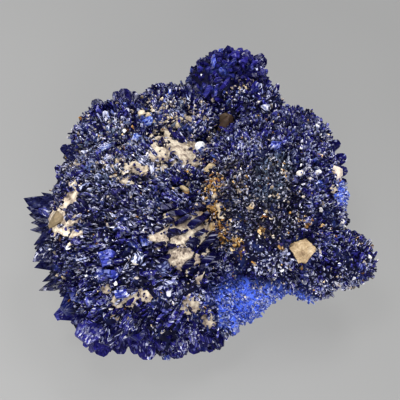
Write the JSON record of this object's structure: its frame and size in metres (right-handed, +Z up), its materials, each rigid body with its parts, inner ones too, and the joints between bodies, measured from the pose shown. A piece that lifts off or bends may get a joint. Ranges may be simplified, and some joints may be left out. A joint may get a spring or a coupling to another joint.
{
  "type": "azurite specimen",
  "caption": "Rounded cluster of deep blue azurite blades grown together, with cream clay and grains of host rock lodged between them; rests on the flat break under it.",
  "frame": {"origin": "on the plane that it rests on, under the middle of the cluster's bounding box", "axes": "+Z up out of the flat break, +Y towards the small knob at the back, +X towards the smooth fine-grained dome and the side nodule"},
  "size_m": [0.0463, 0.0446, 0.0205],
  "materials": {
    "azurite": "vitreous crystal faces",
    "clay": "earthy, matt",
    "host_rock": "rough, matt",
    "pale_rock": "rough, matt"
  },
  "bodies": {
    "root": {"azurite_cluster": "azurite", "clay_seam": "clay", "clay_upper": "clay", "clay_left": "clay", "host_rock_grain": "host_rock", "pale_rock_grain": "pale_rock"}
  },
  "joints": []
}
